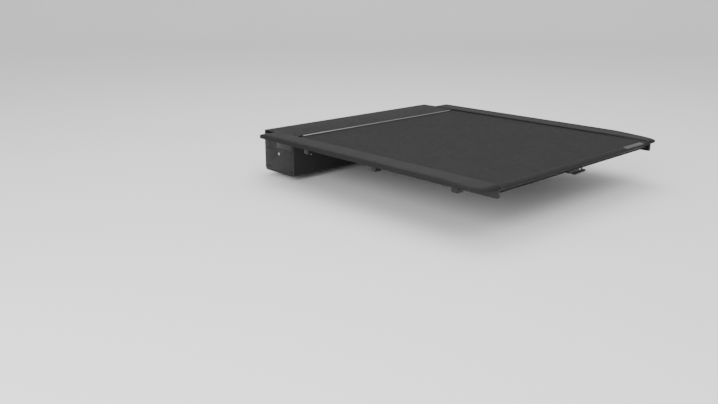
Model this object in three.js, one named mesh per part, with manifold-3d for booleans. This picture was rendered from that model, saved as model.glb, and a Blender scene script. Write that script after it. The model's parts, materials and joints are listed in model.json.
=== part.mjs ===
// Retractable tonneau cover for a pickup bed, in millimetres.
// +X is the truck's right, +Y points at the cab and +Z is up. The origin is on the canister's
// bulkhead face, midway across, at the height of the bed sides' tops.
import * as THREE from "three";
import { mergeVertices } from "three/addons/utils/BufferGeometryUtils.js";
import Module from "manifold-3d";

const wasm = await Module();
wasm.setup();

// Driving dimensions
const length = 1612; // bulkhead face to the latch bar's nose
const halfWidth = 781; // centre line to a rail cap's outer edge
const capTop = 16; // rail cap's top above the bed side's top
const deckTop = 7; // closed curtain's top
const gap = 0.3; // clearance between touching pieces

// Canister
const sheet = 2.5;
const trough = { halfX: 667.3, rear: -262, floor: -215, frontTop: 9.7, rearTop: -16, bend: 18 };
const lid = { rear: -270, halfX: 655, underside: 10, top: 13, ribs: [-60, -128], ribDepth: 5 };
const endCap = { outer: 669.6, top: 0, chamfer: 14 };
const lidEar = { outer: 669.6, rear: -107 }; // closes the canister's corners ahead of the rail caps
const bracket = { outer: 705, thick: 3, bottom: -70, rear: -250 };

// Drum and the curtain wound on it
const drum = { y: -128, z: -105, outer: 30, inner: 27.5, halfX: 667, axle: 8 };
const rollRadius = 40;

// Latch bar. The curtain's skin laps over a ledge on it, up to a rounded nose that overhangs the tailgate.
const bar = { rear: -length, front: 76 - length, nose: 36 - length, halfX: 640, capOuter: 654 };
const barSection = { bottom: -26, wall: 2.5, lip: -5, foot: 30 - length };
const shoe = { from: 20, to: 2, bottom: -4.5 }; // runs in the rail; distances are behind the bar's front

// Curtain
const curtain = { halfX: 666, front: trough.rear, slatBottom: -3, skin: 2 };
const ledge = deckTop - curtain.skin - gap; // slats' top, and the bar's top under the skin
const slat = { pitch: 49, joint: 4, film: 0.9, slope: 1.5, cells: 3, wall: 1.5, web: 2 };

// Side rails, right-hand section. The left one is its mirror image.
const rail = { tip: 655, lipTip: 657, wall: 669, back: 672, top: 10.7, rear: 7 - length, front: -276 };
const railSeat = { outer: 700, rear: 117 - length, bottom: 3, top: 6 };
const railFoot = { top: -40, bottom: -43 };
const railNotch = { from: 160 - length, top: 6 }; // the rail is lower near its rear end

// Rail cap: level along the bed side, falling over its last stretch towards the outer rear corner
const cap = { inner: 657, wall: 3, skirt: -4, front: -110, corner: 90, round: 2, edge: 27 };
const fall = { over: 280, power: 1.3, outer: 18, inner: 4, from: 672, to: 722 };

// Latch mechanism under the bar
const handle = { y: 52 - length, shaft: 6, halfTurn: Math.PI / 6 };
const lever = { hub: 13, tip: 8, reach: 88, bottom: -64, top: -55 };
const cam = { radius: 18, bottom: -22.9, top: -20, pinCircle: 14, pin: 2.5, pinBottom: -21, pinTop: -12 };
const rod = { z: -16, radius: 3, halfThick: 2, padHalfX: 6, padHalfY: 6.5, slotHalfY: 4.5 };
const bolt = { radius: 5, offset: 13, inner: 630, outer: 652 };
const striker = { inner: 662, halfY: 8, bottom: -30, top: -9.3 };
const housing = { halfX: 60, shoulder: -46, flatHalfX: 52, bottom: -52 };
const lock = { x: 35, z: -42, radius: 7, from: 9, to: 10, keyway: 0.8, keyHeight: 4 };
const badge = { from: 418, to: 597, angles: [98, 146], thick: 1.2 };

// Small fittings
const trim = { width: 7, halfX: 612, bottom: 8, shoulder: 11, top: 14 };
const drain = { x: 560, y: -30, bore: 6, reach: 30 };
const spring = { coil: 17.5, wire: 1.5, from: -30, to: 560, turns: 12 };
const plug = { bore: 14, inner: 22, outer: 2 }; // its ends are measured in from the drum's end
const lead = { slope: THREE.MathUtils.degToRad(37), bend: 60 }; // the curtain's run down to the drum
const clamp = { width: 34, thick: 13, boltX: 662, boltRadius: 3, nut: 5 };
const jaw = { outer: 694, inner: 684, top: -10 };
const clampPlaces = [-400, -900, -1400];
const capRibs = { places: [715, 748], thick: 2.5 };

const cover = new THREE.Group();

function material(hex, roughness, metalness = 0) {
  return new THREE.MeshStandardMaterial({ color: hex, roughness, metalness });
}

const vinyl = material(0x434343, 0.85);
const aluminium = material(0xa9abad, 0.35, 1);
const blackAluminium = material(0x1d1e1f, 0.5, 0.6);
const greyPlastic = material(0x4b4c4c, 0.6);
const edgePlastic = material(0x2c2c2c, 0.55);
const blackPlastic = material(0x1c1c1d, 0.6);
const rubber = material(0x121212, 0.85);
const foam = material(0x1a1a1a, 0.95);
const steel = material(0x8a8c8e, 0.4, 1);
const nylon = material(0x2b2b2b, 0.7);
const greyCoat = material(0x3a3b3c, 0.45, 0.3);
const dullAluminium = material(0x7d7f81, 0.5, 1);

function add(name, geometry, finish) {
  const mesh = new THREE.Mesh(geometry, finish);
  mesh.name = name;
  cover.add(mesh);
}

// Outlines are lists of [across, up] points. Each prism is extruded along one axis.
function shapeOf(points) {
  return new THREE.Shape(points.map(([u, v]) => new THREE.Vector2(u, v)));
}

function extrude(points, depth) {
  return new THREE.ExtrudeGeometry(shapeOf(points), { depth, bevelEnabled: false, steps: 1 });
}

function prismX(outline, low, high) {
  const turn = new THREE.Matrix4().set(0, 0, 1, 0, 1, 0, 0, 0, 0, 1, 0, 0, 0, 0, 0, 1);
  return extrude(outline, high - low).applyMatrix4(turn).translate(low, 0, 0);
}

function prismY(outline, low, high) {
  return extrude(outline, high - low).rotateX(Math.PI / 2).translate(0, high, 0);
}

function prismZ(outline, low, high) {
  return extrude(outline, high - low).translate(0, 0, low);
}

function block([x0, x1], [y0, y1], [z0, z1]) {
  const box = new THREE.BoxGeometry(Math.abs(x1 - x0), y1 - y0, z1 - z0);
  return box.translate((x0 + x1) / 2, (y0 + y1) / 2, (z0 + z1) / 2);
}

function rodX(radius, x0, x1, y, z, sides = 24) {
  const rod = new THREE.CylinderGeometry(radius, radius, Math.abs(x1 - x0), sides);
  return rod.rotateZ(Math.PI / 2).translate((x0 + x1) / 2, y, z);
}

function rodY(radius, y0, y1, x, z, sides = 24) {
  return new THREE.CylinderGeometry(radius, radius, y1 - y0, sides).translate(x, (y0 + y1) / 2, z);
}

function rodZ(radius, z0, z1, x, y, sides = 24) {
  const rod = new THREE.CylinderGeometry(radius, radius, z1 - z0, sides);
  return rod.rotateX(Math.PI / 2).translate(x, y, (z0 + z1) / 2);
}

// A hollow round piece about X, as a closed lathe profile
function ringX(outer, inner, x0, x1, y, z, sides = 48) {
  const low = Math.min(x0, x1);
  const high = Math.max(x0, x1);
  const profile = [[inner, low], [outer, low], [outer, high], [inner, high], [inner, low]];
  const ring = new THREE.LatheGeometry(profile.map(([r, h]) => new THREE.Vector2(r, h)), sides);
  return ring.rotateZ(-Math.PI / 2).translate(0, y, z);
}

// Points of an arc from one angle to another, in degrees
function arc(centreU, centreV, radiusU, radiusV, from, to, steps) {
  const points = [];
  for (let i = 0; i <= steps; i += 1) {
    const angle = THREE.MathUtils.degToRad(from + ((to - from) * i) / steps);
    points.push([centreU + radiusU * Math.cos(angle), centreV + radiusV * Math.sin(angle)]);
  }
  return points;
}

function solid(geometry) {
  const bare = geometry.clone();
  bare.deleteAttribute("normal");
  bare.deleteAttribute("uv");
  const merged = mergeVertices(bare, 1e-4);
  const vertProperties = new Float32Array(merged.attributes.position.array);
  const triVerts = new Uint32Array(merged.index.array);
  return new wasm.Manifold(new wasm.Mesh({ numProp: 3, vertProperties, triVerts }));
}

function geometryOf(manifold) {
  const mesh = manifold.getMesh();
  const geometry = new THREE.BufferGeometry();
  geometry.setAttribute("position", new THREE.BufferAttribute(new Float32Array(mesh.vertProperties), 3));
  geometry.setIndex(new THREE.BufferAttribute(new Uint32Array(mesh.triVerts), 1));
  const flat = geometry.toNonIndexed();
  flat.computeVertexNormals();
  return flat;
}

function cut(base, ...tools) {
  return geometryOf(tools.reduce((left, tool) => left.subtract(solid(tool)), solid(base)));
}

function join(...pieces) {
  return geometryOf(pieces.slice(1).reduce((sum, piece) => sum.add(solid(piece)), solid(pieces[0])));
}

// Where each latch pin stands at rest, the handle being half its turn back from the middle.
// The right rod runs behind the handle's shaft and the left one ahead of it.
function pinPlace(side) {
  const x = -side * cam.pinCircle * Math.sin(handle.halfTurn);
  return [x, handle.y - side * cam.pinCircle * Math.cos(handle.halfTurn)];
}

const boltY = (side) => handle.y - side * bolt.offset;
const mirrorX = (outline, side) => outline.map(([x, v]) => [side * x, v]);
const sides = [["left", -1], ["right", 1]];

// The two ends of a span on one side, lowest first
const span = (side, a, b) => [Math.min(side * a, side * b), Math.max(side * a, side * b)];

// Canister: a folded sheet trough with an open top, end caps, a lid and the slot's fittings

function troughOutline(inset) {
  const rear = trough.rear + inset;
  const front = -inset;
  const floor = trough.floor + inset;
  const bend = trough.bend - inset;
  return [
    [rear, trough.rearTop],
    ...arc(rear + bend, floor + bend, bend, bend, 180, 270, 6),
    ...arc(front - bend, floor + bend, bend, bend, 270, 360, 6),
    [front, trough.frontTop],
  ];
}

function canisterTrough() {
  const outline = [...troughOutline(0), ...troughOutline(sheet).reverse()];
  const bent = prismX(outline, -trough.halfX, trough.halfX);
  const drains = sides.map(([, side]) =>
    rodZ(drain.bore, trough.floor - 5, trough.floor + 5, side * drain.x, drain.y));
  return cut(bent, ...drains);
}

function canisterEndCap(side) {
  const outline = troughOutline(0);
  outline[outline.length - 1] = [0, endCap.top];
  outline.push([trough.rear + endCap.chamfer, endCap.top]);
  const plate = prismX(outline, ...span(side, trough.halfX + gap, endCap.outer));
  const hole = rodX(drum.axle + gap, ...span(side, trough.halfX - 5, endCap.outer + 5), drum.y, drum.z);
  return cut(plate, hole);
}

function stiffeningRib(y) {
  const tip = lid.underside - lid.ribDepth;
  return [[y + 4, lid.underside], [y + 2, tip], [y - 2, tip], [y - 4, lid.underside]];
}

function canisterLid() {
  const outline = [
    [lid.rear, lid.underside],
    [lid.rear, lid.top - 1],
    [lid.rear + 1, lid.top],
    ...arc(-4, lid.top - 3, 4, 3, 90, 0, 4),
    ...lid.ribs.flatMap(stiffeningRib),
  ];
  const ears = sides.map(([, side]) =>
    block(span(side, lid.halfX - 1, lidEar.outer), [lidEar.rear, -1], [lid.underside, lid.top]));
  return join(prismX(outline, -lid.halfX, lid.halfX), ...ears);
}

// The bright strip clipped along the lid's rear edge, rounded on top
function lidTrimStrip() {
  const front = lid.rear - gap;
  const rear = front - trim.width;
  const crown = arc((front + rear) / 2, trim.shoulder, trim.width / 2, trim.top - trim.shoulder, 0, 180, 8);
  return prismX([[rear, trim.bottom], [front, trim.bottom], ...crown], -trim.halfX, trim.halfX);
}

function slotWiperSeal() {
  const top = lid.underside - gap;
  const tip = deckTop + gap;
  const lip = [[lid.rear + 2, top], [lid.rear + 4, tip], [lid.rear + 6, tip], [lid.rear + 12, top]];
  return prismX(lip, -lid.halfX, lid.halfX);
}

// The low-friction nose on the trough's rear wall that the curtain bends over
function slotGuide() {
  const rear = trough.rear - 6;
  const front = trough.rear + 10;
  const bottom = trough.rearTop + gap;
  const top = curtain.slatBottom - gap;
  const radius = (front - rear) / 2;
  const crown = arc((front + rear) / 2, bottom + 4, radius, top - bottom - 4, 0, 180, 8);
  return prismX([[rear, bottom], [front, bottom], ...crown], -trough.halfX, trough.halfX);
}

// The angle that hangs the canister from the bed side's top
function canisterBracket(side) {
  const inner = endCap.outer + gap;
  const outline = [
    [inner, bracket.bottom],
    [inner + bracket.thick, bracket.bottom],
    [inner + bracket.thick, 0],
    [bracket.outer, 0],
    [bracket.outer, bracket.thick],
    [inner, bracket.thick],
  ];
  return prismY(mirrorX(outline, side), bracket.rear, cap.front - cap.wall - gap);
}

function drainSpigot(side) {
  const top = trough.floor - gap;
  const bottom = top - drain.reach;
  const inner = drain.bore - 1;
  const outer = drain.bore + 2;
  const barb = [[outer, bottom], [outer + 1, bottom + 4], [outer, bottom + 8]];
  const flange = [[outer, top - 3], [outer + 7, top - 3], [outer + 7, top]];
  const profile = [[inner, bottom], ...barb, ...flange, [inner, top], [inner, bottom]];
  const spigot = new THREE.LatheGeometry(profile.map(([r, h]) => new THREE.Vector2(r, h)), 28);
  return spigot.rotateX(Math.PI / 2).translate(side * drain.x, drain.y, 0);
}

// Drum: a fixed axle, with a tube that turns about it on bushes in its end plugs

function springCoil() {
  const perTurn = 12;
  const count = spring.turns * perTurn;
  const points = [];
  for (let i = 0; i <= count; i += 1) {
    const angle = (i / perTurn) * 2 * Math.PI;
    const x = spring.from + ((spring.to - spring.from) * i) / count;
    const y = drum.y + spring.coil * Math.cos(angle);
    points.push(new THREE.Vector3(x, y, drum.z + spring.coil * Math.sin(angle)));
  }
  const wire = new THREE.Shape().absarc(0, 0, spring.wire, 0, 2 * Math.PI);
  const path = new THREE.CatmullRomCurve3(points);
  return new THREE.ExtrudeGeometry(wire, { extrudePath: path, steps: spring.turns * 14, curveSegments: 4 });
}

// Curtain: slats joined by film hinges, a vinyl skin on top, and the run down to the drum

// Each slat is a flat extrusion with three cells, open at its ends
function curtainSlats() {
  const top = ledge;
  const bottom = curtain.slatBottom;
  const hinge = top - slat.film;
  const end = bar.front + gap;
  const slats = Math.floor((curtain.front - end) / slat.pitch);
  const across = [-curtain.halfX - 1, curtain.halfX + 1];
  const cellHeight = [bottom + slat.wall, hinge - 0.7];
  const outline = [[end, top]];
  const cells = [];
  for (let i = 0; i < slats; i += 1) {
    const rear = end + i * slat.pitch;
    const front = i === slats - 1 ? curtain.front : rear + slat.pitch - slat.joint;
    outline.push([rear, hinge], [rear + slat.slope, bottom], [front - slat.slope, bottom], [front, hinge]);
    const pitch = (front - rear - 2 * slat.wall) / slat.cells;
    for (let cell = 0; cell < slat.cells; cell += 1) {
      const start = rear + slat.wall + slat.web / 2 + cell * pitch;
      cells.push(block(across, [start, start + pitch - slat.web], cellHeight));
    }
  }
  outline.push([curtain.front, top]);
  return cut(prismX(outline, -curtain.halfX, curtain.halfX), ...cells);
}

function curtainSkin() {
  const bottom = deckTop - curtain.skin;
  return block([-curtain.halfX, curtain.halfX], [bar.nose + gap, curtain.front], [bottom, deckTop]);
}

// The turns that stay on the drum when the cover is shut
function curtainRoll() {
  return ringX(rollRadius, drum.outer + gap, -curtain.halfX, curtain.halfX, drum.y, drum.z, 64);
}

// The curtain bends over the slot guide and runs straight down onto the roll
function curtainLead() {
  const { slope, bend } = lead;
  const thick = deckTop - curtain.slatBottom;
  const middle = (deckTop + curtain.slatBottom) / 2;
  const touch = rollRadius + gap + thick / 2;
  const end = [drum.y + touch * Math.sin(slope), drum.z + touch * Math.cos(slope)];
  const run = (middle - end[1]) / Math.sin(slope);
  const corner = end[0] - run * Math.cos(slope);
  const centre = [corner - bend * Math.tan(slope / 2), middle - bend];
  const lowest = 90 - THREE.MathUtils.radToDeg(slope);
  const edge = (offset) => [
    [trough.rear + gap, middle + offset],
    ...arc(...centre, bend + offset, bend + offset, 90, lowest, 10),
    [end[0] + offset * Math.sin(slope), end[1] + offset * Math.cos(slope)],
  ];
  return prismX([...edge(thick / 2), ...edge(-thick / 2).reverse()], -curtain.halfX, curtain.halfX);
}

// Side rail: a channel for the curtain's edge, a web inside the bed side and a seat on its top

function sideRail(side) {
  const { tip, lipTip, wall, back, top } = rail;
  const channel = [[lipTip, top], [lipTip, 8], [wall, 8], [wall, -6], [tip, -6], [tip, -9], [wall, -9]];
  const foot = [[wall, railFoot.top], [tip, railFoot.top], [tip, railFoot.bottom], [back, railFoot.bottom]];
  const seat = [
    [back, railSeat.bottom],
    [railSeat.outer, railSeat.bottom],
    [railSeat.outer, railSeat.top],
    [back, railSeat.top],
  ];
  const section = [...channel, ...foot, ...seat, [back, top]];
  const bar = prismY(mirrorX(section, side), rail.rear, rail.front);
  const holes = clampPlaces.map((y) =>
    rodZ(clamp.boltRadius + gap, railFoot.bottom - 5, railFoot.top + 5, side * clamp.boltX, y, 16));
  const rearEnd = rail.rear - 5;
  const lipCut = block(span(side, tip - 5, back + 5), [rearEnd, railNotch.from], [railNotch.top, top + 5]);
  const seatCut = block(span(side, back, railSeat.outer + 5), [rearEnd, railSeat.rear], [0, top]);
  return cut(bar, lipCut, seatCut, ...holes);
}

function railSeal(side) {
  const across = span(side, rail.back + 2, railSeat.outer);
  return block(across, [railSeat.rear, rail.front], [0, railSeat.bottom - gap]);
}

function railEndPlug(side) {
  const along = [rail.rear - 3, rail.rear - gap];
  const face = block(span(side, rail.tip, rail.back), along, [railFoot.bottom, -4.3]);
  const tongueX = span(side, rail.tip + 2, rail.wall - gap);
  const tongue = block(tongueX, [rail.rear - 1, rail.rear + 12], [-5.7, -1]);
  return join(face, tongue);
}

// Height of the cap's top at a place on it
function capHeight(x, y) {
  const along = Math.max(0, (fall.over - (y + length)) / fall.over);
  const across = THREE.MathUtils.smoothstep(Math.abs(x), fall.from, fall.to);
  return capTop - along ** fall.power * THREE.MathUtils.lerp(fall.inner, fall.outer, across);
}

const skirtHeight = (x, y) => Math.min(cap.skirt, capHeight(x, y) - 7);

// Points from one place towards another, without the last
function towards([u0, v0], [u1, v1], steps) {
  const points = [];
  for (let i = 0; i < steps; i += 1) {
    const share = i / steps;
    points.push([u0 + (u1 - u0) * share, v0 + (v1 - v0) * share]);
  }
  return points;
}

// One closed ring round the cap, drawn in by an inset, with its height worked out at each point
function capRing(side, inset, front, height) {
  const radius = cap.corner - inset;
  const [inner, outer] = [cap.inner + inset, halfWidth - inset];
  const rear = inset - length;
  const fallStart = fall.over - length;
  const corner = arc(halfWidth - cap.corner, cap.corner - length, radius, radius, -90, 0, 12);
  const plan = [
    [inner, front],
    ...towards([inner, fallStart], [inner, rear], 10),
    ...towards([inner, rear], corner[0], 4),
    ...corner,
    ...towards([outer, cap.corner - length], [outer, fallStart], 10).slice(1),
    [outer, fallStart],
    [outer, front],
  ];
  return plan.map(([x, y]) => new THREE.Vector3(side * x, y, height(x, y)));
}

// A closed skin over a stack of rings, capped at both ends by strips across the ring
function skinned(rings, side) {
  const count = rings[0].length;
  const points = rings.flat();
  const triangles = [];
  const quad = (a, b, c, d) => triangles.push(a, b, c, a, c, d);
  for (let level = 0; level < rings.length - 1; level += 1) {
    for (let i = 0; i < count; i += 1) {
      const j = (i + 1) % count;
      const base = level * count;
      quad(base + i, base + j, base + count + j, base + count + i);
    }
  }
  const across = (base, flip) => {
    for (let i = 0; i < count / 2 - 1; i += 1) {
      const [a, b, c, d] = [base + i, base + i + 1, base + count - 2 - i, base + count - 1 - i];
      if (flip) quad(d, c, b, a);
      else quad(a, b, c, d);
    }
  };
  across(0, true);
  across((rings.length - 1) * count, false);
  const geometry = new THREE.BufferGeometry().setFromPoints(points);
  geometry.setIndex(side > 0 ? triangles : triangles.reverse());
  return geometry;
}

// The whole hollow cap, before it is parted into its top strip and its edge moulding
function capShell(side) {
  const under = cap.wall;
  const outside = skinned([
    capRing(side, 0, cap.front, skirtHeight),
    capRing(side, 0, cap.front, (x, y) => capHeight(x, y) - cap.round),
    capRing(side, cap.round, cap.front - cap.round, capHeight),
  ], side);
  const inside = skinned([
    capRing(side, under, cap.front - under, () => cap.skirt - 20),
    capRing(side, under, cap.front - under, (x, y) => capHeight(x, y) - under),
  ], side);
  const innerWall = span(side, cap.inner - 1, cap.inner + cap.wall + 1);
  const frontWall = [cap.front - under - 1, cap.front + 1];
  const openings = [
    inside,
    block(span(side, cap.inner + 1, halfWidth - under), frontWall, [cap.skirt - 1, gap]),
    block(innerWall, [-length - 1, 1], [cap.skirt - 1, deckTop + gap]),
    block(innerWall, [railNotch.from - gap, 1], [cap.skirt - 1, rail.top + gap]),
  ];
  return openings.reduce((left, tool) => left.subtract(solid(tool)), solid(outside));
}

// Everything on the inner side of a line that runs round the cap's outer side and rear
function withinEdge(side, inset) {
  const radius = cap.corner - inset;
  const corner = arc(halfWidth - cap.corner, cap.corner - length, radius, radius, -90, 0, 12);
  const plan = [[cap.inner - 5, inset - length], ...corner, [halfWidth - inset, 5], [cap.inner - 5, 5]];
  return solid(prismZ(mirrorX(plan, side), -60, 60));
}

// Top strip, with two ribs that rest on the bed side
function railCap(side) {
  const strip = capShell(side).intersect(withinEdge(side, cap.edge + gap / 2));
  const along = [fall.over - length, cap.front - 1];
  const ribs = capRibs.places.map((x) =>
    solid(block(span(side, x, x + capRibs.thick), along, [gap, capTop - 2])));
  return geometryOf(ribs.reduce((sum, rib) => sum.add(rib), strip));
}

// Black moulding along the cap's outer side and round its rear corner
function capEdge(side) {
  return geometryOf(capShell(side).subtract(withinEdge(side, cap.edge - gap / 2)));
}

// Clamp: a jaw that hooks up behind the bed side's inner flange, pulled to the rail's foot by a bolt
function clampJaw(side, y) {
  const top = railFoot.bottom - gap;
  const bottom = top - clamp.thick;
  const foot = [[rail.tip, top], [rail.tip, bottom], [jaw.outer - 2, bottom], [jaw.outer, bottom + 2]];
  const hook = [[jaw.outer, jaw.top - 2], [jaw.outer - 2, jaw.top], [jaw.inner, jaw.top]];
  const bend = [[jaw.inner, top + 3], [jaw.inner - 3, top]];
  const outline = mirrorX([...foot, ...hook, ...bend], side);
  const body = prismY(outline, y - clamp.width / 2, y + clamp.width / 2);
  return cut(body, rodZ(clamp.boltRadius + gap, bottom - 5, top + 5, side * clamp.boltX, y, 16));
}

function clampBolt(side, y) {
  const x = side * clamp.boltX;
  const { nut } = clamp;
  const hexagon = (z) => rodZ(nut, z, z + nut, x, y, 6);
  const underHead = railFoot.top + gap;
  const nutTop = railFoot.bottom - 2 * gap - clamp.thick;
  const shank = rodZ(clamp.boltRadius, nutTop - 8 + gap, underHead + 1, x, y, 16);
  return join(hexagon(underHead), shank, hexagon(nutTop - nut));
}

// Striker plate under the curtain channel that takes a latch bolt
function latchStriker(side) {
  const y = boltY(side);
  const across = span(side, striker.inner, rail.wall - gap);
  const plate = block(across, [y - striker.halfY, y + striker.halfY], [striker.bottom, striker.top]);
  return cut(plate, rodX(bolt.radius + 0.5, ...span(side, striker.inner - 2, rail.wall + 2), y, rod.z));
}

// Latch bar: a hollow extrusion with a rounded nose and an end cap that runs in each rail

function noseArc() {
  const { lip } = barSection;
  return arc(bar.nose, lip, bar.nose - bar.rear, deckTop - lip, 90, 180, 12);
}

function barOutline() {
  const { bottom, foot } = barSection;
  return [[bar.front, bottom], [bar.front, ledge], [bar.nose, ledge], ...noseArc(), [foot, bottom]];
}

function barHollow() {
  const { bottom, wall, foot } = barSection;
  return [
    [bar.front - wall, bottom + wall],
    [bar.front - wall, ledge - wall],
    [bar.nose - 14, ledge - wall],
    [foot + wall, bottom + wall],
  ];
}

function latchBar() {
  const outside = prismX(barOutline(), -bar.halfX, bar.halfX);
  const inside = prismX(barHollow(), -bar.halfX - 1, bar.halfX + 1);
  const { bottom } = barSection;
  return cut(outside, inside, rodZ(handle.shaft + 2, bottom - 5, bottom + 5, 0, handle.y));
}

function barCap(side) {
  const plate = prismX(barOutline(), ...span(side, bar.halfX + gap, bar.capOuter));
  const along = [bar.front - shoe.from, bar.front - shoe.to];
  const runner = block(span(side, bar.capOuter - 1, curtain.halfX), along, [shoe.bottom, ledge]);
  const hole = rodX(bolt.radius + gap, ...span(side, bar.halfX - 2, bar.capOuter + 2), boltY(side), rod.z);
  return cut(join(plate, runner), hole);
}

// Bulb with a flat back, pressed on the tailgate's top when the cover is shut
function tailgateSeal() {
  const top = barSection.bottom - gap;
  const rear = barSection.foot;
  const bulb = arc(rear + 6, top - 3, 6, 6, 180, 360, 10);
  return prismX([[rear, top], ...bulb, [rear + 12, top]], -bar.capOuter, bar.capOuter);
}

// Plain blank plate on the bar's sloping nose
function badgePlate() {
  const { lip } = barSection;
  const layer = (lift) => {
    const across = bar.nose - bar.rear + lift;
    return arc(bar.nose, lip, across, deckTop - lip + lift, ...badge.angles, 5);
  };
  return prismX([...layer(gap), ...layer(gap + badge.thick).reverse()], badge.from, badge.to);
}

function handleHousing() {
  const top = barSection.bottom - gap;
  const { halfX, shoulder, flatHalfX, bottom } = housing;
  const half = [[flatHalfX, bottom], [halfX, shoulder], [halfX, top]];
  const body = prismY([...mirrorX(half, -1).reverse(), ...half], handle.y - 8, bar.front - 4);
  const shaftHole = rodZ(handle.shaft + gap, bottom - 8, top + 6, 0, handle.y);
  const lockEnds = [handle.y - lock.from - 1, handle.y + lock.to + 0.5];
  const lockHole = rodY(lock.radius + gap, ...lockEnds, lock.x, lock.z);
  return cut(body, shaftHole, lockHole);
}

function latchHandle() {
  const shaft = rodZ(handle.shaft, lever.bottom + 4, cam.bottom - gap, 0, handle.y);
  const plan = [
    ...arc(0, handle.y, lever.hub, lever.hub, 90, 270, 10),
    ...arc(lever.reach, handle.y, lever.tip, lever.tip, 270, 450, 10),
  ];
  return join(prismZ(plan, lever.bottom, lever.top), shaft);
}

// Disc with two pins that push the latch rods apart as the handle turns
function handleCam() {
  const pins = [-1, 1].map((side) => rodZ(cam.pin, cam.pinBottom, cam.pinTop, ...pinPlace(side), 16));
  return join(rodZ(cam.radius, cam.bottom, cam.top, 0, handle.y, 32), ...pins);
}

function latchRod(side) {
  const [x, y] = pinPlace(side);
  const slot = cam.pin + 0.6;
  const { z, halfThick, padHalfX, padHalfY, slotHalfY } = rod;
  const padHeight = [z - halfThick, z + halfThick];
  const plate = block([x - padHalfX, x + padHalfX], [y - padHalfY, y + padHalfY], padHeight);
  const window = block([x - slot, x + slot], [y - slotHalfY, y + slotHalfY], [z - 5, z + 5]);
  const shank = rodX(rod.radius, ...span(side, side * x + 5, bolt.inner - gap), boltY(side), z, 16);
  return join(cut(plate, window), shank);
}

function latchBolt(side) {
  return rodX(bolt.radius, ...span(side, bolt.inner, bolt.outer), boltY(side), rod.z);
}

function lockCylinder() {
  const { x, z, keyway, keyHeight } = lock;
  const rear = handle.y - lock.from;
  const barrel = rodY(lock.radius, rear, handle.y + lock.to, x, z);
  const slit = block([x - keyway, x + keyway], [rear - 1, rear + 4], [z - keyHeight, z + keyHeight]);
  return cut(barrel, slit);
}

add("canister_trough", canisterTrough(), blackAluminium);
add("canister_lid", canisterLid(), greyCoat);
add("lid_trim_strip", lidTrimStrip(), aluminium);
add("slot_wiper_seal", slotWiperSeal(), rubber);
add("slot_guide", slotGuide(), nylon);
add("drum_axle", rodX(drum.axle, -endCap.outer - 1, endCap.outer + 1, drum.y, drum.z), steel);
add("spring_anchor", ringX(13, drum.axle + gap, -60, -40, drum.y, drum.z), steel);
add("torsion_spring", springCoil(), steel);
add("drum_tube", ringX(drum.outer, drum.inner, -drum.halfX, drum.halfX, drum.y, drum.z), aluminium);
add("curtain_roll", curtainRoll(), vinyl);
add("curtain_lead", curtainLead(), vinyl);
add("curtain_slats", curtainSlats(), blackAluminium);
add("curtain_skin", curtainSkin(), vinyl);
add("latch_bar", latchBar(), greyCoat);
add("tailgate_seal", tailgateSeal(), rubber);
add("badge_plate", badgePlate(), dullAluminium);
add("handle_housing", handleHousing(), blackPlastic);
add("latch_handle", latchHandle(), blackPlastic);
add("handle_cam", handleCam(), steel);
add("lock_cylinder", lockCylinder(), aluminium);

for (const [label, side] of sides) {
  const plugEnds = span(side, drum.halfX - plug.inner, drum.halfX - plug.outer);
  add(`canister_end_cap_${label}`, canisterEndCap(side), blackPlastic);
  add(`canister_bracket_${label}`, canisterBracket(side), blackAluminium);
  add(`drain_spigot_${label}`, drainSpigot(side), blackPlastic);
  add(`drum_plug_${label}`, ringX(drum.inner - gap, plug.bore + gap, ...plugEnds, drum.y, drum.z), nylon);
  add(`drum_bush_${label}`, ringX(plug.bore, drum.axle + gap, ...plugEnds, drum.y, drum.z), nylon);
  add(`side_rail_${label}`, sideRail(side), blackAluminium);
  add(`rail_seal_${label}`, railSeal(side), foam);
  add(`rail_end_plug_${label}`, railEndPlug(side), blackPlastic);
  add(`rail_cap_${label}`, railCap(side), greyPlastic);
  add(`cap_edge_${label}`, capEdge(side), edgePlastic);
  add(`latch_striker_${label}`, latchStriker(side), steel);
  add(`bar_cap_${label}`, barCap(side), blackPlastic);
  add(`latch_rod_${label}`, latchRod(side), steel);
  add(`latch_bolt_${label}`, latchBolt(side), steel);
  clampPlaces.forEach((y, i) => {
    add(`clamp_jaw_${label}_${i + 1}`, clampJaw(side, y), blackAluminium);
    add(`clamp_bolt_${label}_${i + 1}`, clampBolt(side, y), steel);
  });
}

export default cover;
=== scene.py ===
# Retractable tonneau cover on a plain floor, in metres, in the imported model's own frame:
# +X to the truck's right, +Y to the cab, +Z up, z = 0 at the tops of the bed sides.
import json
import math

import bmesh
import bpy
from mathutils import Matrix, Vector


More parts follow.
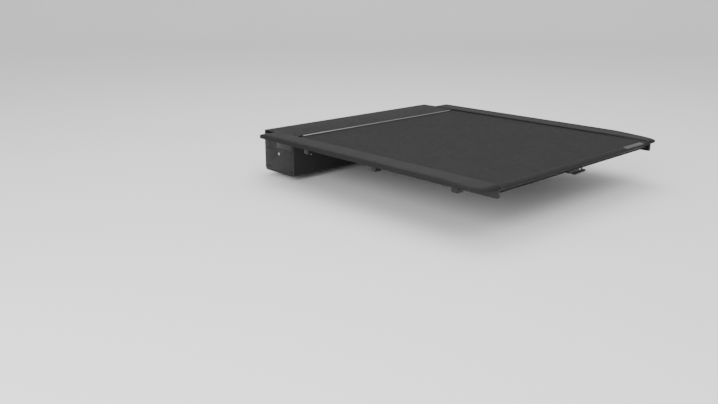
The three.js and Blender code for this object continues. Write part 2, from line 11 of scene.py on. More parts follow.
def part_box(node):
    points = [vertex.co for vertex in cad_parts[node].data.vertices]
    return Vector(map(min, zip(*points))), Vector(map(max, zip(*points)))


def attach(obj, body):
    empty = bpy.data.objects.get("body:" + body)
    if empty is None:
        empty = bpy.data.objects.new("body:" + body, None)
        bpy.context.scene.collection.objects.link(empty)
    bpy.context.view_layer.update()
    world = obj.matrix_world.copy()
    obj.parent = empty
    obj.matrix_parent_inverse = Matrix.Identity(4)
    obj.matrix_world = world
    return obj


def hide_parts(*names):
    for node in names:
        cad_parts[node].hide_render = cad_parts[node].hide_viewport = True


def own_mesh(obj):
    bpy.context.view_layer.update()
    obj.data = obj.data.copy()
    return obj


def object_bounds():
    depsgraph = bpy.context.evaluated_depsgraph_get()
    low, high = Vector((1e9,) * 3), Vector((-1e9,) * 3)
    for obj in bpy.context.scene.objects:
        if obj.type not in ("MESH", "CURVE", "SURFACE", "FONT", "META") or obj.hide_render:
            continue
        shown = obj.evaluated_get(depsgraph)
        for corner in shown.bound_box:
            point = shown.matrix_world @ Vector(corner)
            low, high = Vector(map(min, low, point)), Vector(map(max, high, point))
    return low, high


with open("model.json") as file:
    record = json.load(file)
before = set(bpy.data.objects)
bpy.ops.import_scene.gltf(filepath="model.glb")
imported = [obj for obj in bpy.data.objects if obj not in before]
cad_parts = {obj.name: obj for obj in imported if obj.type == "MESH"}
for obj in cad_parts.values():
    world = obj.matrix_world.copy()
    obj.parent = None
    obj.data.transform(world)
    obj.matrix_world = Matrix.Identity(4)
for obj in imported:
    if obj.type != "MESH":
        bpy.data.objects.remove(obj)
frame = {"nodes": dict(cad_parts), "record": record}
cad_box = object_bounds()

MM = 0.001
GAP = 0.1 * MM  # keeps neighbouring solids just apart
IMAGE_WIDTH = 718
FLOOR_HEIGHT = cad_box[0][2]
SIDES = (("left", -1), ("right", 1))


# ---------------------------------------------------------------- camera, floor and light

def add_camera():
    """Stands where the photograph was taken from, behind the truck's left rear corner."""
    azimuth, elevation, roll = (math.radians(angle) for angle in (-43.13, 16.18, 0.19))
    sensor, focal_pixels, shift_pixels = 36, 727.4, (1, -7)
    back = Vector((math.sin(azimuth) * math.cos(elevation),
                   -math.cos(azimuth) * math.cos(elevation),
                   math.sin(elevation)))
    level = Vector((0, 0, 1)).cross(back).normalized()
    upright = back.cross(level)
    right = math.cos(roll) * level + math.sin(roll) * upright
    up = back.cross(right)
    data = bpy.data.cameras.new("camera")
    data.sensor_width = sensor
    data.lens = sensor * focal_pixels / IMAGE_WIDTH
    data.shift_x = shift_pixels[0] / IMAGE_WIDTH
    data.shift_y = shift_pixels[1] / IMAGE_WIDTH
    camera = bpy.data.objects.new("camera", data)
    bpy.context.scene.collection.objects.link(camera)
    turn = Matrix((right, up, back)).transposed().to_4x4()
    camera.matrix_world = Matrix.Translation((-3.043, -3.305, 0.802)) @ turn
    bpy.context.scene.camera = camera


def add_floor(paper):
    """A floor that curves up into a backdrop behind the cover."""
    reach, half_width, rise, bend, steps = 9.0, 14.0, 6.0, 3.0, 12
    profile = [(-reach, 0.0)]
    for i in range(steps + 1):
        angle = math.pi / 2 * i / steps
        profile.append((reach + bend * math.sin(angle), bend * (1 - math.cos(angle))))
    profile.append((reach + bend, bend + rise))
    away = Vector((0.68, 0.73, 0))
    across = Vector((0.73, -0.68, 0))
    verts = []
    for distance, height in profile:
        for side in (-half_width, half_width):
            verts.append(away * distance + across * side + Vector((0, 0, FLOOR_HEIGHT + height)))
    faces = [(2 * i, 2 * i + 1, 2 * i + 3, 2 * i + 2) for i in range(len(profile) - 1)]
    mesh = bpy.data.meshes.new("studio_floor")
    mesh.from_pydata(verts, [], faces)
    mesh.shade_smooth()
    floor = bpy.data.objects.new("studio_floor", mesh)
    bpy.context.scene.collection.objects.link(floor)
    mesh.materials.append(paper)


def add_area_light(name, place, target, size, power):
    data = bpy.data.lights.new(name, "AREA")
    data.shape = "DISK"
    data.size = size
    data.energy = power
    lamp = bpy.data.objects.new(name, data)
    bpy.context.scene.collection.objects.link(lamp)
    lamp.location = place
    lamp.rotation_euler = (Vector(target) - Vector(place)).to_track_quat("-Z", "Y").to_euler()


def add_lights():
    world = bpy.data.worlds.new("studio")
    world.use_nodes = True
    world.node_tree.nodes["Background"].inputs["Color"].default_value = (1, 1, 1, 1)
    world.node_tree.nodes["Background"].inputs["Strength"].default_value = 0.9
    bpy.context.scene.world = world
    middle = (0, -0.8, 0)
    add_area_light("key_light", (-2.0, -4.0, 4.5), middle, 3.0, 90)
    add_area_light("top_light", (0.5, 0.0, 4.5), middle, 4.0, 100)
    add_area_light("left_fill", (-5.0, -2.5, 1.8), middle, 3.0, 230)


# ---------------------------------------------------------------- materials

class Finish:
    """A Principled material with short calls for the nodes that shape its colour and surface."""

    def __init__(self, name, colour, roughness, metallic=0.0, specular=0.5):
        self.material = bpy.data.materials.new(name)
        self.material.use_nodes = True
        self.nodes = self.material.node_tree.nodes
        self.links = self.material.node_tree.links
        self.shader = self.nodes["Principled BSDF"]
        self.shader.inputs["Base Color"].default_value = (*colour, 1)
        self.shader.inputs["Roughness"].default_value = roughness
        self.shader.inputs["Metallic"].default_value = metallic
        self.shader.inputs["Specular IOR Level"].default_value = specular
        self.coordinates = self.nodes.new("ShaderNodeTexCoord").outputs["Object"]

    def stretched(self, scale):
        mapping = self.nodes.new("ShaderNodeMapping")
        mapping.inputs["Scale"].default_value = scale
        self.links.new(self.coordinates, mapping.inputs["Vector"])
        return mapping.outputs["Vector"]

    def noise(self, scale, detail=3.0, stretch=None):
        texture = self.nodes.new("ShaderNodeTexNoise")
        texture.inputs["Scale"].default_value = scale
        texture.inputs["Detail"].default_value = detail
        source = self.stretched(stretch) if stretch else self.coordinates
        self.links.new(source, texture.inputs["Vector"])
        return texture.outputs["Fac"]

    def cells(self, scale):
        texture = self.nodes.new("ShaderNodeTexVoronoi")
        texture.feature = "DISTANCE_TO_EDGE"
        texture.inputs["Scale"].default_value = scale
        self.links.new(self.coordinates, texture.inputs["Vector"])
        return texture.outputs["Distance"]

    def ramp(self, source, first, last, start=0.3, end=0.7):
        ramp = self.nodes.new("ShaderNodeValToRGB")
        ramp.color_ramp.elements[0].position = start
        ramp.color_ramp.elements[1].position = end
        ramp.color_ramp.elements[0].color = (*first, 1)
        ramp.color_ramp.elements[1].color = (*last, 1)
        self.links.new(source, ramp.inputs["Fac"])
        return ramp.outputs["Color"]

    def vary_colour(self, source, first, last, start=0.3, end=0.7):
        self.links.new(self.ramp(source, first, last, start, end), self.shader.inputs["Base Color"])

    def vary_roughness(self, source, lowest, highest, start=0.3, end=0.7):
        spread = self.nodes.new("ShaderNodeMapRange")
        spread.inputs["From Min"].default_value = start
        spread.inputs["From Max"].default_value = end
        spread.inputs["To Min"].default_value = lowest
        spread.inputs["To Max"].default_value = highest
        self.links.new(source, spread.inputs["Value"])
        self.links.new(spread.outputs["Result"], self.shader.inputs["Roughness"])

    def bump(self, *heights):
        """Each height is (source, distance in metres); the bumps are chained."""
        normal = None
        for source, distance in heights:
            bump = self.nodes.new("ShaderNodeBump")
            bump.inputs["Distance"].default_value = distance
            self.links.new(source, bump.inputs["Height"])
            if normal:
                self.links.new(normal, bump.inputs["Normal"])
            normal = bump.outputs["Normal"]
        self.links.new(normal, self.shader.inputs["Normal"])


def grey(level, tint=(1.0, 1.0, 1.0)):
    """A linear colour from an sRGB level of 0 to 255."""
    value = level / 255
    linear = value / 12.92 if value <= 0.04045 else ((value + 0.055) / 1.055) ** 2.4
    return tuple(linear * t for t in tint)


def vinyl():
    finish = Finish("textured_vinyl", grey(44), 0.9, specular=0.1)
    finish.vary_colour(finish.noise(6, 4), grey(43), grey(45))
    finish.vary_roughness(finish.noise(40, 3), 0.82, 0.94)
    finish.bump((finish.cells(700), 0.0002), (finish.noise(2500, 2), 0.00008))
    return finish.material


def cap_plastic():
    finish = Finish("textured_cap_plastic", grey(48), 0.75, specular=0.12)
    finish.vary_colour(finish.noise(9, 4), grey(46), grey(50))
    finish.vary_roughness(finish.noise(120, 3), 0.7, 0.8)
    finish.bump((finish.noise(1800, 2), 0.00015))
    return finish.material


# Painted shade: this darker grey paints the shading on the cap's outer shoulder and side, which are
# otherwise the cap's own grey plastic.
def edge_plastic():
    finish = Finish("satin_painted_shade_edge_plastic", grey(36), 0.7, specular=0.08)
    finish.vary_colour(finish.noise(12, 4), grey(35), grey(37))
    finish.vary_roughness(finish.noise(120, 3), 0.66, 0.76)
    finish.bump((finish.noise(1800, 2), 0.0001))
    return finish.material


def black_plastic():
    finish = Finish("moulded_black_plastic", grey(26), 0.55, specular=0.3)
    finish.vary_colour(finish.noise(30, 3), grey(23), grey(29))
    finish.vary_roughness(finish.noise(150, 3), 0.45, 0.65)
    finish.bump((finish.noise(2200, 2), 0.0001))
    return finish.material


def powder_coat(name, level, roughness, specular):
    finish = Finish(name, grey(level), roughness, specular=specular)
    finish.vary_colour(finish.noise(14, 4), grey(level - 1), grey(level + 1))
    finish.vary_roughness(finish.noise(60, 3), roughness - 0.05, roughness + 0.05)
    finish.bump((finish.noise(900, 2), 0.00006))
    return finish.material


def brushed(name, level, roughness):
    """Aluminium with fine lines along X."""
    finish = Finish(name, grey(level), roughness, metallic=1.0)
    lines = finish.noise(900, 3, stretch=(0.02, 1, 1))
    finish.vary_colour(lines, grey(level - 12), grey(level + 12))
    finish.vary_roughness(lines, roughness - 0.07, roughness + 0.07)
    finish.bump((lines, 0.00002))
    return finish.material


def zinc_steel():
    finish = Finish("zinc_plated_steel", grey(165), 0.4, metallic=1.0)
    finish.vary_colour(finish.cells(500), grey(150), grey(178), 0.0, 0.4)
    finish.vary_roughness(finish.noise(80, 3), 0.3, 0.5)
    finish.bump((finish.noise(1200, 2), 0.00003))
    return finish.material


def rubber():
    finish = Finish("black_rubber", grey(24), 0.8, specular=0.2)
    finish.vary_colour(finish.noise(25, 4), grey(21), grey(27))
    finish.vary_roughness(finish.noise(90, 3), 0.7, 0.9)
    finish.bump((finish.noise(1500, 2), 0.0001))
    return finish.material


def nylon():
    finish = Finish("dark_nylon", grey(44), 0.45, specular=0.3)
    finish.vary_colour(finish.noise(40, 3), grey(40), grey(48))
    finish.vary_roughness(finish.noise(200, 2), 0.38, 0.52)
    finish.bump((finish.noise(1600, 2), 0.00005))
    return finish.material


def floor_paper():
    finish = Finish("floor_paper", grey(243), 0.9, specular=0.1)
    finish.vary_colour(finish.noise(0.8, 2), grey(242), grey(244))
    return finish.material


FINISHES = {
    "vinyl": vinyl(),
    "cap_plastic": cap_plastic(),
    # painted shade: the darker grey for the cap's outer shoulder and side
    "edge_plastic": edge_plastic(),
    "black_plastic": black_plastic(),
    "black_aluminium": powder_coat("black_powder_coat", 30, 0.42, 0.3),
    "grey_coat": powder_coat("satin_grey_coat", 37, 0.6, 0.08),
    "bare_aluminium": brushed("satin_aluminium", 152, 0.35),
    "dull_aluminium": brushed("dull_aluminium", 100, 0.55),
    "steel": zinc_steel(),
    "rubber": rubber(),
    "nylon": nylon(),
}
SLOT_OF = {part["node"]: part["material_slot"] for part in frame["record"]["subparts"]}


def body_of(node):
    for body, nodes in frame["record"]["behaviour"]["bodies"].items():
        if node in nodes:
            return body
    raise KeyError(node)


# ---------------------------------------------------------------- making pieces

def place(name, mesh, slot, body, nodes=(), sharp=40):
    """Gives a finished mesh its material, its body and the CAD nodes it stands for.

    It's shaded smooth, but for edges that turn by more than the sharp angle in degrees.
    """
    mesh.shade_smooth()
    mesh.set_sharp_from_angle(angle=math.radians(sharp))
    mesh.materials.clear()
    mesh.materials.append(FINISHES[slot])
    piece = bpy.data.objects.new(name, mesh)
    bpy.context.scene.collection.objects.link(piece)
    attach(piece, body)
    if nodes:
        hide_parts(*nodes)
    return piece


def mesh_from(name, verts, faces, openings=()):
    """A mesh with outward normals. Each opening is a list of vertex loops, filled across with triangles."""
    mesh = bpy.data.meshes.new(name)
    mesh.from_pydata([tuple(v) for v in verts], [], faces)
    work = bmesh.new()
    work.from_mesh(mesh)
    work.verts.ensure_lookup_table()
    for loops in openings:
        edges = []
        for loop in loops:
            for first, second in zip(loop, [*loop[1:], loop[0]]):
                ends = (work.verts[first], work.verts[second])
                edges.append(work.edges.get(ends) or work.edges.new(ends))
        bmesh.ops.triangle_fill(work, use_beauty=True, edges=edges)
    bmesh.ops.recalc_face_normals(work, faces=work.faces)
    work.to_mesh(mesh)
    work.free()
    return mesh


def softened(node, width):
    """The CAD node's own shape with its sharp edges rounded."""
    weld, flat_angle, sharp_angle = 0.001 * MM, math.radians(0.5), math.radians(28)
    work = bmesh.new()
    work.from_mesh(frame["nodes"][node].data)
    bmesh.ops.remove_doubles(work, verts=work.verts, dist=weld)
    bmesh.ops.dissolve_limit(work, angle_limit=flat_angle, verts=work.verts, edges=work.edges)
    sharp = [e for e in work.edges if len(e.link_faces) == 2 and e.calc_face_angle(0) > sharp_angle]
    bmesh.ops.bevel(work, geom=sharp, offset=width, segments=2, profile=0.5,
                    affect="EDGES", clamp_overlap=True)
    bmesh.ops.recalc_face_normals(work, faces=work.faces)
    mesh = bpy.data.meshes.new(node + "_finished")
    work.to_mesh(mesh)
    work.free()
    return place(node + "_finished", mesh, SLOT_OF[node], body_of(node), [node], sharp=35)


def filleted(points, radius, steps=4):
    """An outline with each corner replaced by a curve about as tight as the radius."""
    nearly_straight = math.radians(170)
    most = 0.45  # of each neighbouring side may go to the curve
    out = []
    count = len(points)
    for i, corner in enumerate(points):
        here = Vector(corner)
        before = Vector(points[i - 1]) - here
        after = Vector(points[(i + 1) % count]) - here
        half = before.angle(after) / 2
        if 2 * half > nearly_straight:
            out.append(tuple(here))
            continue
        reach = min(radius / math.tan(half), before.length * most, after.length * most)
        start = here + before.normalized() * reach
        end = here + after.normalized() * reach
        for step in range(steps + 1):
            t = step / steps
            point = start * (1 - t) ** 2 + here * 2 * t * (1 - t) + end * t ** 2
            out.append(tuple(point))
    return out


def lofted(rows, count, base=0):
    """Faces that join each closed row of points to the next one. The first point's number is base."""
    faces = []
    for start in range(base, base + (rows - 1) * count, count):
        for i in range(count):
            j = (i + 1) % count
            faces.append((start + i, start + j, start + count + j, start + count + i))
    return faces


def end_faces(rows, count, base=0):
    """The first and the last row of a loft, as the two faces that close it."""
    last = base + (rows - 1) * count
    return [tuple(range(base, base + count)), tuple(range(last, last + count))]


def extruded_x(name, outline, x_low, x_high):
    """An outline of (y, z) points drawn out along X, as a closed solid."""
    count = len(outline)
    verts = [(x, y, z) for x in (x_low, x_high) for y, z in outline]
    return mesh_from(name, verts, end_faces(2, count) + lofted(2, count))


def band(name, slot, node, at, along, across, steps):
    """A rounded band that follows a curve through the CAD node's width.

    at(distance, height) gives a (y, z) point, and along and across are the band's ends and its two faces.
    """
    lo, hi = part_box(node)
    rounding = 0.4 * MM
    places = [along[0] + (along[1] - along[0]) * i / steps for i in range(steps + 1)]
    outline = [at(d, across[1]) for d in places] + [at(d, across[0]) for d in reversed(places)]
    mesh = extruded_x(name, filleted(outline, rounding, 2), lo.x, hi.x)
    return place(name, mesh, slot, body_of(node), [node])


# ---------------------------------------------------------------- the curtain

SLAT_PITCH = 49 * MM
SLAT_JOINT = 4 * MM
SLAT_SLOPE = 1.5 * MM
FILM = 0.9 * MM  # the hinges between slats
SKIN = 2 * MM
LEAD_SLOPE, LEAD_BEND = math.radians(37), 60 * MM


def deck_skin():
    """Vinyl sheet, pressed very slightly into the joints between the slats."""
    lo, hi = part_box("curtain_skin")
    columns = 16
    joint_dip = 0.12 * MM
    rows = []
    slats = int((hi.y - lo.y) / SLAT_PITCH)
    for slat in range(slats):
        end = hi.y if slat == slats - 1 else lo.y + (slat + 1) * SLAT_PITCH
        for share in (0, 0.04, 0.09, 0.3, 0.6, 0.88, 0.95):
            start = lo.y + slat * SLAT_PITCH
            dip = joint_dip if share == 0 and slat else 0.0
            rows.append((start + share * (end - start), dip))
    rows.append((hi.y, 0.0))
    verts = []
    for y, dip in rows:
        for c in range(columns + 1):
            verts.append((lo.x + (hi.x - lo.x) * c / columns, y, hi.z - dip))
    top = len(verts)
    for y, dip in rows:
        for c in range(columns + 1):
            verts.append((lo.x + (hi.x - lo.x) * c / columns, y, lo.z + GAP))
    across = columns + 1
    faces = []
    for r in range(len(rows) - 1):
        for c in range(columns):
            a = r * across + c
            faces.append((a, a + 1, a + across + 1, a + across))
            faces.append((top + a, top + a + across, top + a + across + 1, top + a + 1))
        for c in (0, columns):
            a = r * across + c
            faces.append((a, a + across, top + a + across, top + a))
    for r in (0, len(rows) - 1):
        for c in range(columns):
            a = r * across + c
            faces.append((a, a + 1, top + a + 1, top + a))
    mesh = mesh_from("deck_skin", verts, faces)
    piece = place("deck_skin", mesh, "vinyl", "root", ["curtain_skin"], sharp=50)
    return piece


def slat_curtain():
    """Slats with rounded edges and a groove along the middle, under one thin film that hinges them."""
    lo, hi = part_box("curtain_slats")
    film = hi.z - FILM
    groove, groove_half, groove_slope = 1.2 * MM, 4 * MM, 1 * MM
    verts, faces = [], []
    slats = int((hi.y - lo.y) / SLAT_PITCH)

    def add_bar(outline):
        count, base = len(outline), len(verts)
        for x in (lo.x, hi.x):
            verts.extend((x, y, z) for y, z in outline)
        faces.extend(end_faces(2, count, base) + lofted(2, count, base))

    add_bar([(lo.y, film), (lo.y, hi.z), (hi.y, hi.z), (hi.y, film)])
    for slat in range(slats):
        rear = lo.y + slat * SLAT_PITCH
        front = hi.y if slat == slats - 1 else rear + SLAT_PITCH - SLAT_JOINT
        middle = (rear + front) / 2
        bottom = lo.z
        outline = [
            (rear, film - GAP),
            (rear + SLAT_SLOPE, bottom),
            (middle - groove_half - groove_slope, bottom),
            (middle - groove_half, bottom + groove),
            (middle + groove_half, bottom + groove),
            (middle + groove_half + groove_slope, bottom),
            (front - SLAT_SLOPE, bottom),
            (front, film - GAP),
        ]
        add_bar(filleted(outline, 0.8 * MM, 2))
    mesh = mesh_from("slat_curtain", verts, faces)
    return place("slat_curtain", mesh, "black_aluminium", "root", ["curtain_slats"], sharp=35)


def curtain_lead():
    """The curtain's bent run from the slot guide down to the drum: vinyl over short curved slats."""
    lo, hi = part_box("curtain_lead")
    slope, bend = LEAD_SLOPE, LEAD_BEND
    top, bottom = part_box("curtain_skin")[1].z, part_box("curtain_slats")[0].z
    half, middle = (top - bottom) / 2, (top + bottom) / 2
    end_y, end_z = hi.y - half * math.sin(slope), lo.z + half * math.cos(slope)
    corner_y = end_y - (middle - end_z) / math.tan(slope)
    tangent = bend * math.tan(slope / 2)
    straight = corner_y - tangent - lo.y
    curved = bend * slope
    whole = straight + curved + math.hypot(end_y - corner_y, middle - end_z) - tangent

    def at(distance, height):
        """(y, z) of a point that far along the run's middle line and that high off it."""
        if distance < straight:
            return (lo.y + distance, middle + height)
        turned = min(distance - straight, curved) / bend
        beyond = max(0.0, distance - straight - curved)
        reach = bend + height
        return (lo.y + straight + reach * math.sin(turned) + beyond * math.cos(turned),
                middle - bend + reach * math.cos(turned) - beyond * math.sin(turned))

    skin = band("lead_skin", "vinyl", "curtain_lead", at, (0.0, whole), (half - SKIN, half), 30)
    slat_faces = (-half, half - SKIN - GAP)
    names = []
    for number in range(math.ceil(whole / SLAT_PITCH)):
        start = number * SLAT_PITCH
        ends = (start, min(start + SLAT_PITCH - SLAT_JOINT, whole))
        names.append(f"lead_slat_{number + 1}")
        band(names[-1], "black_aluminium", "curtain_lead", at, ends, slat_faces, 10)


def curtain_roll():
    """The turn that stays on the drum when the cover is shut: vinyl round four curved slats."""
    lo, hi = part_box("curtain_roll")
    centre_y, centre_z = (lo.y + hi.y) / 2, (lo.z + hi.z) / 2
    outer = (hi.z - lo.z) / 2
    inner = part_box("drum_tube")[1].z - centre_z + 0.3 * MM
    slats, joint, lap = 4, 5, 2  # the joint between slats and half the vinyl's lap are in degrees

    def at(angle, radius):
        return (centre_y + radius * math.sin(math.radians(angle)),
                centre_z + radius * math.cos(math.radians(angle)))

    skin = band("roll_skin", "vinyl", "curtain_roll", at, (lap, 360 - lap), (outer - SKIN, outer), 72)
    slat_faces = (inner, outer - SKIN - GAP)
    names = []
    for number in range(slats):
        start = number * 360 / slats
        ends = (start, start + 360 / slats - joint)
        names.append(f"roll_slat_{number + 1}")
        band(names[-1], "black_aluminium", "curtain_roll", at, ends, slat_faces, 18)


def draw_in(piece):
    """Gives the piece its own copy of its mesh."""
    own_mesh(piece)


# ---------------------------------------------------------------- rail caps

STRIP_LOW, STRIP_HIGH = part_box("rail_cap_right")
EDGE_LOW, EDGE_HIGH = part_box("cap_edge_right")
CAP_INNER, CAP_OUTER = STRIP_LOW.x, EDGE_HIGH.x
CAP_REAR, CAP_FRONT, CAP_TOP = EDGE_LOW.y, STRIP_HIGH.y, STRIP_HIGH.z
CAP_CORNER = 90 * MM
CAP_WALL = 3 * MM
CAP_SKIRT = 20 * MM  # the level stretch's top to the skirt's lower edge
EDGE_WIDTH = 27 * MM  # the dark edge piece's share of the cap's top; its darkness is painted shade
SEAM = 0.3 * MM
FALL_LENGTH = 280 * MM
FALL_INNER, FALL_OUTER = 4 * MM, 18 * MM
FALL_CURVE_ALONG, FALL_CURVE_ACROSS = 1.3, 1.6
LEAST_SKIRT, LEAST_EDGE = 7 * MM, 8.6 * MM  # under the top, where it has fallen most
RIB_PLACES, RIB_WIDTH = (715 * MM, 748 * MM), 2.5 * MM
RIB_TOP = CAP_TOP - 4 * MM
LIP_END = CAP_REAR + 160 * MM  # the rail's upper lip starts here
LIP_RAMP = 20 * MM
OVER_LIP, OVER_DECK = 11.2 * MM, 7.6 * MM


def cap_height(x, y):
    """Height of the cap's top, which falls towards the outer rear corner."""
    along = max(0.0, (CAP_REAR + FALL_LENGTH - y) / FALL_LENGTH) ** FALL_CURVE_ALONG
    across = min(1.0, max(0.0, (x - CAP_INNER) / (CAP_OUTER - CAP_INNER))) ** FALL_CURVE_ACROSS
    return CAP_TOP - along * (FALL_INNER + (FALL_OUTER - FALL_INNER) * across)


def cap_hem(x, y):
    """Height of the cap's lower edge: over the rail, over the bed side's top, or down its outer face."""
    if x < CAP_INNER + 1.5 * CAP_WALL:
        share = min(1.0, max(0.0, (y - LIP_END + LIP_RAMP) / LIP_RAMP))
        return OVER_DECK + (OVER_LIP - OVER_DECK) * share
    if y > CAP_FRONT - 2 * CAP_WALL and x < CAP_OUTER - 2 * CAP_WALL:
        return SEAM
    return min(CAP_TOP - CAP_SKIRT, cap_height(x, y) - LEAST_SKIRT)


def strip_plan(inset):
    """The top strip's plan outline, drawn in by the inset, with extra points where the top falls."""
    x0, x1 = CAP_INNER + inset, CAP_OUTER - EDGE_WIDTH - SEAM / 2 - inset
    y0, y1 = CAP_REAR + EDGE_WIDTH + SEAM / 2 + inset, CAP_FRONT - inset
    tight = max(3 * MM - inset, 0.5 * MM)  # the corners' radii, but for the wide one at the rear
    wide = min(CAP_CORNER - EDGE_WIDTH - SEAM / 2 - inset, x1 - x0 - 2 * tight)
    points = []

    def corner(centre_x, centre_y, radius, first, steps):
        for i in range(steps + 1):
            angle = math.radians(first + 90 * i / steps)
            points.append((centre_x + radius * math.cos(angle), centre_y + radius * math.sin(angle)))

    def along(x, start, end, steps=14):
        for i in range(1, steps):
            points.append((x, start + (end - start) * i / steps))

    corner(x1 - wide, y0 + wide, wide, -90, 18)
    along(x1, y0 + wide, CAP_REAR + FALL_LENGTH)
    corner(x1 - tight, y1 - tight, tight, 0, 4)
    corner(x0 + tight, y1 - tight, tight, 90, 4)
    along(x0, CAP_REAR + FALL_LENGTH, y0 + tight)
    corner(x0 + tight, y0 + tight, tight, 180, 4)
    return points


def cap_strip(label, side):
    """The cap's grey top strip: slightly crowned, turned down over the rail and at the front."""

    def under(x, y):
        """The strip is a plate, but for its turned-down inner and front walls."""
        walled = x < CAP_INNER + 1.5 * CAP_WALL or y > CAP_FRONT - 1.5 * CAP_WALL
        return cap_hem(x, y) if walled else cap_height(x, y) - CAP_WALL

    crown = [(0.0, 1.2 * MM), (0.3 * MM, 0.6 * MM), (0.9 * MM, 0.25 * MM), (2 * MM, 0.1 * MM),
             (8 * MM, 0.05 * MM), (20 * MM, 0.0), (32 * MM, 0.0)]
    levels = [
        (32 * MM, lambda x, y: cap_height(x, y) - CAP_WALL),
        (CAP_WALL + 0.4 * MM, lambda x, y: cap_height(x, y) - CAP_WALL),
        (CAP_WALL, lambda x, y: min(under(x, y) + 0.3 * MM, cap_height(x, y) - CAP_WALL)),
        (CAP_WALL - 0.5 * MM, under),
        (0.4 * MM, under),
        (0.0, lambda x, y: under(x, y) + 0.4 * MM),
    ]
    levels += [(inset, lambda x, y, d=drop: cap_height(x, y) - d) for inset, drop in crown]
    loops = [[(side * x, y, height(x, y)) for x, y in strip_plan(inset)] for inset, height in levels]
    count = len(loops[0])
    verts = [vert for loop in loops for vert in loop]
    name = f"rail_cap_{label}_strip"
    ends = [[list(range(count))], [list(range(len(verts) - count, len(verts)))]]
    mesh = mesh_from(name, verts, lofted(len(loops), count), ends)
    return place(name, mesh, "cap_plastic", "root", [f"rail_cap_{label}"])


def edge_path():
    """(point, outward direction) along the cap's outer edge, from its front to its rear inner end."""
    fall_steps, corner_steps = 14, 18
    straight = [CAP_FRONT, CAP_FRONT - 4 * MM, -500 * MM]
    straight += [CAP_REAR + FALL_LENGTH * i / fall_steps for i in range(fall_steps, 4, -1)]
    path = [((CAP_OUTER, y), (1, 0)) for y in straight]
    centre = (CAP_OUTER - CAP_CORNER, CAP_REAR + CAP_CORNER)
    for i in range(corner_steps + 1):
        angle = math.radians(-90 * i / corner_steps)
        out = (math.cos(angle), math.sin(angle))
        path.append(((centre[0] + CAP_CORNER * out[0], centre[1] + CAP_CORNER * out[1]), out))
    for share in (0.4, 0.8, 1.0):
        path.append(((centre[0] + (CAP_INNER - centre[0]) * share, CAP_REAR), (0, -1)))
    return path


def cap_edge(label, side):
    """Dark piece that rolls over the cap's outer side, swept round the rear corner. Its dark grey is
    painted shade on the cap's shoulder and side.
    """
    shoulder = [(EDGE_WIDTH - SEAM / 2, 0.5 * MM), (EDGE_WIDTH - 0.8 * MM, 0.1 * MM), (12 * MM, 0.2 * MM),
                (7 * MM, 0.6 * MM), (4 * MM, 1.4 * MM), (2 * MM, 2.8 * MM), (0.7 * MM, 5 * MM),
                (0.0, 8 * MM)]
    hem_round = ((0.5 * MM, 0.0), (CAP_WALL - 0.5 * MM, 0.0), (CAP_WALL, 0.5 * MM))
    verts = []
    count = 0
    for (px, py), (nx, ny) in edge_path():
        hem = OVER_DECK
        if px > CAP_INNER + 2 * CAP_WALL:
            hem = min(cap_hem(px, py), cap_height(px, py) - LEAST_EDGE)
        section = []
        for inset, drop in shoulder:
            x, y = px - nx * inset, py - ny * inset
            section.append((x, y, max(cap_height(x, y) - drop, hem + 0.5 * MM)))
        for inset, lift in hem_round:
            section.append((px - nx * inset, py - ny * inset, hem + lift))
        for inset in (CAP_WALL + 0.3 * MM, EDGE_WIDTH - SEAM / 2):
            x, y = px - nx * inset, py - ny * inset
            section.append((x, y, max(cap_height(x, y) - CAP_WALL, hem + 0.6 * MM)))
        count = len(section)
        verts += [(side * x, y, z) for x, y, z in section]
    rows = len(verts) // count
    name = f"cap_edge_{label}_painted_shade_band"
    mesh = mesh_from(name, verts, lofted(rows, count) + end_faces(rows, count))
    return place(name, mesh, "edge_plastic", "root", [f"cap_edge_{label}"])


def cap_ribs(label, side):
    """Two ribs under the cap that rest on the bed side."""
    ends = (CAP_REAR + FALL_LENGTH, CAP_FRONT - 4 * MM)
    for number, x in enumerate(RIB_PLACES, 1):
        outline = [(x, SEAM), (x + RIB_WIDTH, SEAM), (x + RIB_WIDTH, RIB_TOP), (x, RIB_TOP)]
        outline = filleted(outline, 0.6 * MM, 2)
        count = len(outline)
        verts = [(side * u, y, z) for y in ends for u, z in outline]
        name = f"rail_cap_{label}_rib_{number}"
        mesh = mesh_from(name, verts, lofted(2, count) + end_faces(2, count))
        place(name, mesh, "cap_plastic", "root", sharp=35)


# ---------------------------------------------------------------- canister and latch bar

LID_END = 655 * MM
LID_SHEET = 3 * MM
EAR_REAR = -107 * MM
LID_BEADS = (-60 * MM, -128 * MM)
LID_SCREW_X = LID_END - 14 * MM
SCREW_ROWS = (-30 * MM, -235 * MM)  # along Y, both on the lid and on the end caps
END_CAP_SCREWS = [(y, z) for z in (-190 * MM, -85 * MM) for y in SCREW_ROWS]


def canister_lid():
    """Formed lid with rolled edges, two stiffening beads and an ear at each end by the cab."""
    lo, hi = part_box("canister_lid")
    under, front = hi.z - LID_SHEET, -GAP

    def plate(rear):
        return [(rear, under), (rear, hi.z), (front, hi.z), (front, under)]

    outline = plate(lo.y)
    for y in LID_BEADS:
        outline += [(y + 4 * MM, under), (y + 2 * MM, lo.z), (y - 2 * MM, lo.z), (y - 4 * MM, under)]
    mesh = extruded_x("lid_panel", filleted(outline, 2.2 * MM, 5), -LID_END, LID_END)
    place("lid_panel", mesh, "grey_coat", "root", ["canister_lid"])
    for label, side in SIDES:
        ends = sorted((side * LID_END, side * hi.x))
        mesh = extruded_x(f"lid_ear_{label}", filleted(plate(EAR_REAR), 1.2 * MM, 4), *ends)
        place(f"lid_ear_{label}", mesh, "grey_coat", "root", ["canister_lid"])


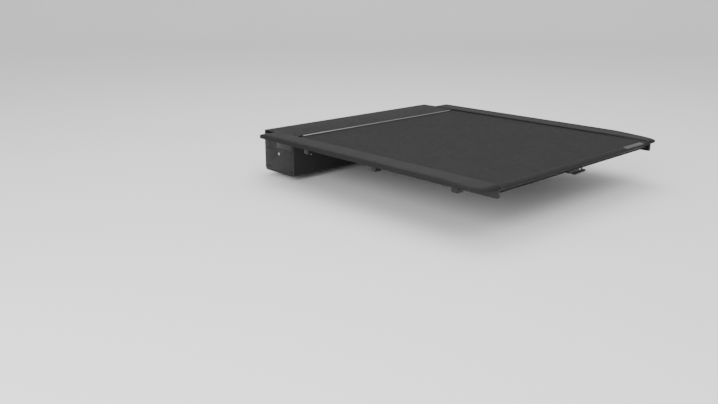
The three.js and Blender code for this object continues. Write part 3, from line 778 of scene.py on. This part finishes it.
def latch_bar():
    """Extruded bar: a ledge under the vinyl, a rounded nose and a hollow for the rods."""
    lo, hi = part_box("latch_bar")
    nose, foot, lip = lo.y + 36 * MM, lo.y + 30 * MM, -5 * MM
    ledge = hi.z - 2.3 * MM
    wall = 2.5 * MM
    steps = 28
    curve = []
    for i in range(steps + 1):
        angle = math.radians(90 + 90 * i / steps)
        curve.append((nose + (nose - lo.y) * math.cos(angle), lip + (hi.z - lip) * math.sin(angle)))
    under = filleted([curve[-1], (foot, lo.z), (hi.y, lo.z), (hi.y, ledge), (nose, ledge)], 1.2 * MM, 3)
    outer = curve + under[4:-4] + [(nose, ledge)]  # the first and last corners stay sharp
    hollow = filleted([(nose - 14 * MM, ledge - wall), (foot + wall, lo.z + wall),
                       (hi.y - wall, lo.z + wall), (hi.y - wall, ledge - wall)], 1.5 * MM, 3)
    verts, faces = [], []
    ends = ([], [])
    for outline in (outer, hollow):
        base, count = len(verts), len(outline)
        verts += [(x, y, z) for x in (lo.x, hi.x) for y, z in outline]
        for loops, loop in zip(ends, end_faces(2, count, base)):
            loops.append(loop)
        faces += lofted(2, count, base)
    mesh = mesh_from("latch_bar_extrusion", verts, faces, ends)
    return place("latch_bar_extrusion", mesh, "grey_coat", "latch_bar", ["latch_bar"])


def screw(name, centre, axis, radius):
    """A low button head with a hexagonal socket. Heights and widths below are shares of its radius."""
    out = Vector(axis).normalized()
    side = out.orthogonal().normalized()
    other = out.cross(side)
    sides = 24
    profile = [(1.0, 0.0), (1.0, 0.2), (0.93, 0.4), (0.75, 0.55), (0.5, 0.6)]
    socket, socket_floor = 0.42, 0.2
    verts = []

    def ring(radii, height):
        for i in range(sides):
            angle = 2 * math.pi * i / sides
            reach = radii(angle) * radius
            point = Vector(centre) + side * reach * math.cos(angle) + other * reach * math.sin(angle)
            verts.append(point + out * height * radius)

    def hexagon(angle):
        return socket / math.cos((angle % (math.pi / 3)) - math.pi / 6)

    for share, height in profile:
        ring(lambda angle, share=share: share, height)
    ring(hexagon, profile[-1][1])
    ring(hexagon, socket_floor)
    rings = len(verts) // sides
    mesh = mesh_from(name, verts, lofted(rings, sides) + end_faces(rings, sides))
    return place(name, mesh, "black_plastic", "root", sharp=30)


def add_screws():
    """Screws through the lid's ends and through the canister's end caps."""
    lid_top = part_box("canister_lid")[1].z
    for label, side in SIDES:
        for number, y in enumerate(SCREW_ROWS, 1):
            screw(f"lid_screw_{label}_{number}", (side * LID_SCREW_X, y, lid_top), (0, 0, 1), 4.2 * MM)
        cap_lo, cap_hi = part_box(f"canister_end_cap_{label}")
        face = cap_hi.x if side > 0 else cap_lo.x
        for number, (y, z) in enumerate(END_CAP_SCREWS, 1):
            screw(f"end_cap_screw_{label}_{number}", (face, y, z), (side, 0, 0), 5 * MM)


def both(*names):
    """Each name with its left and its right ending."""
    return [f"{name}_{label}" for name in names for label, _ in SIDES]


# CAD nodes that keep their shape but for rounded edges of this radius
SOFT_EDGES = [
    (0.4 * MM, ["slot_guide", "slot_wiper_seal", "lid_trim_strip", "badge_plate",
                *both("side_rail", "rail_seal", "latch_striker"), "lock_cylinder", "tailgate_seal",
                *both("latch_bolt", "latch_rod")]),
    (0.8 * MM, ["canister_trough", *both("canister_bracket", "drain_spigot", "rail_end_plug", "bar_cap"),
                "handle_cam", "drum_axle", "drum_tube", "spring_anchor"]),
    (1.5 * MM, [*both("canister_end_cap"), "handle_housing", "latch_handle"]),
]


def carry_over():
    """Gives every CAD node its finish. Most are then replaced by finer pieces."""
    for node, thing in frame["nodes"].items():
        thing.data.materials.clear()
        thing.data.materials.append(FINISHES[SLOT_OF[node]])


add_camera()
add_floor(floor_paper())
add_lights()
carry_over()

slats = slat_curtain()
skin = deck_skin()
curtain_lead()
curtain_roll()
draw_in(slats)
draw_in(skin)
canister_lid()
latch_bar()
for side_label, side_sign in SIDES:
    cap_strip(side_label, side_sign)
    cap_edge(side_label, side_sign)
    cap_ribs(side_label, side_sign)
    for clamp in (1, 2, 3):
        softened(f"clamp_jaw_{side_label}_{clamp}", 1 * MM)
        softened(f"clamp_bolt_{side_label}_{clamp}", 0.5 * MM)
for edge_radius, node_names in SOFT_EDGES:
    for node_name in node_names:
        softened(node_name, edge_radius)
add_screws()
